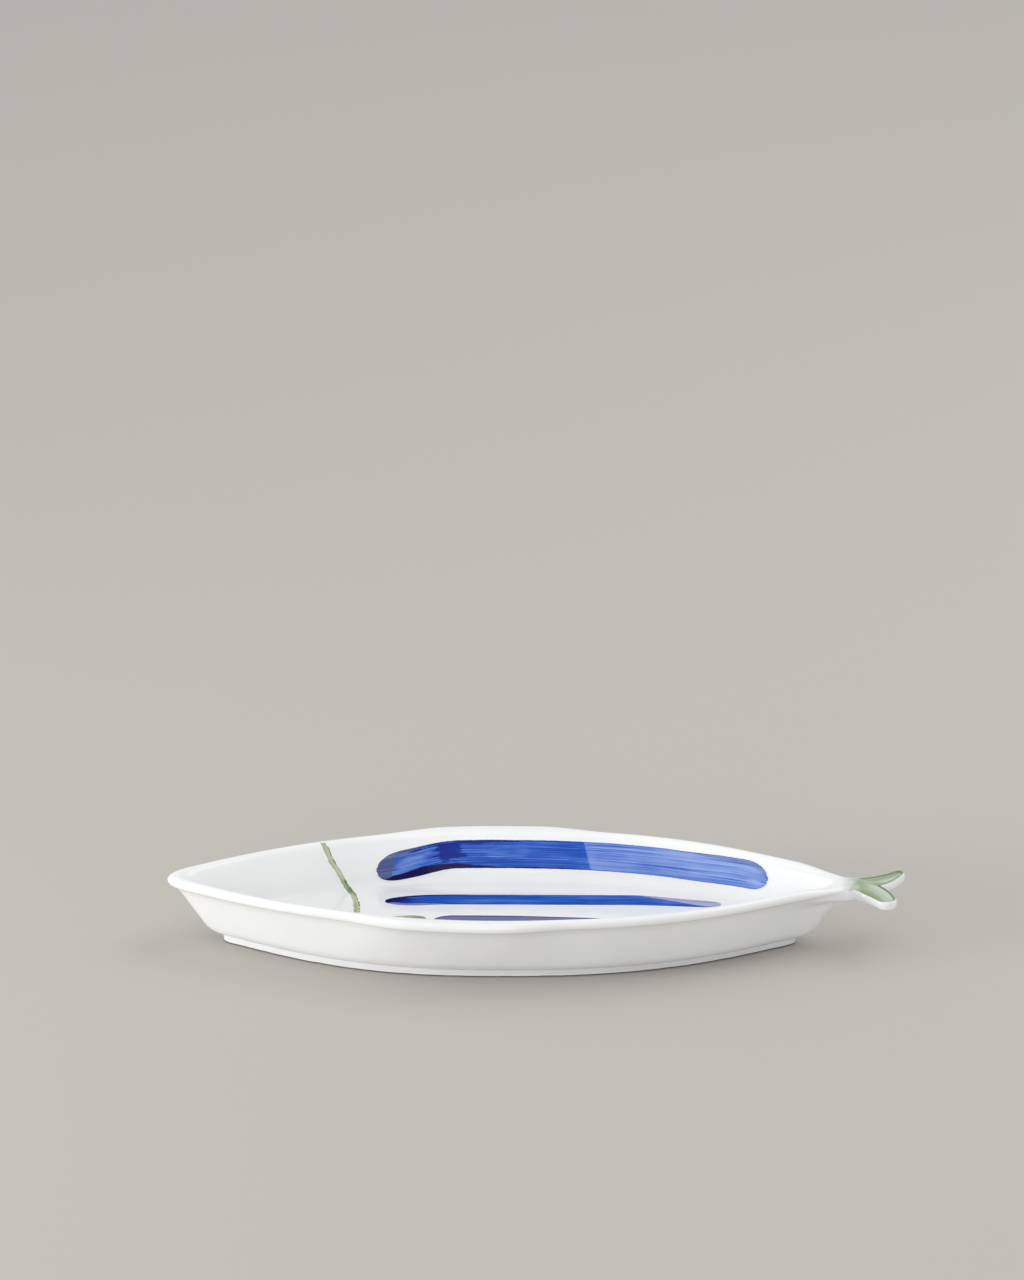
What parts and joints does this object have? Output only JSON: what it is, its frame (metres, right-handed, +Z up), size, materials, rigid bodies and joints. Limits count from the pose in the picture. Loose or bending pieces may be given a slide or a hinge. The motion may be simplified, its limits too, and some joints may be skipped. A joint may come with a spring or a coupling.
{
  "type": "fish-shaped serving dish",
  "caption": "Long boat-shaped glazed porcelain serving dish in the form of a fish, with a rolled rim, side fins, forked tail, foot ring and brushed blue and green stripes inside.",
  "frame": {"origin": "under the middle of the whole dish, on the surface that it stands on", "axes": "+X from the nose to the tail, +Y towards the back of the fish, +Z up out of the dish"},
  "size_m": [0.351, 0.1302, 0.0347],
  "materials": {
    "white_glaze": "clear gloss glaze over white porcelain",
    "bare_clay": "matt, wiped free of glaze on the standing edge",
    "blue_stripe": "brushed cobalt blue under the gloss glaze, streaked and pooled at the ends",
    "green_brush": "thin sage green wash under the gloss glaze"
  },
  "bodies": {
    "root": {"dish_body": "white_glaze", "foot_ring": "bare_clay", "tail_fin": "white_glaze", "back_stripe": "blue_stripe", "middle_stripe": "blue_stripe", "lower_stripe": "blue_stripe", "gill_line": "green_brush", "fin_dab": "green_brush", "tail_wash": "green_brush"}
  },
  "joints": []
}
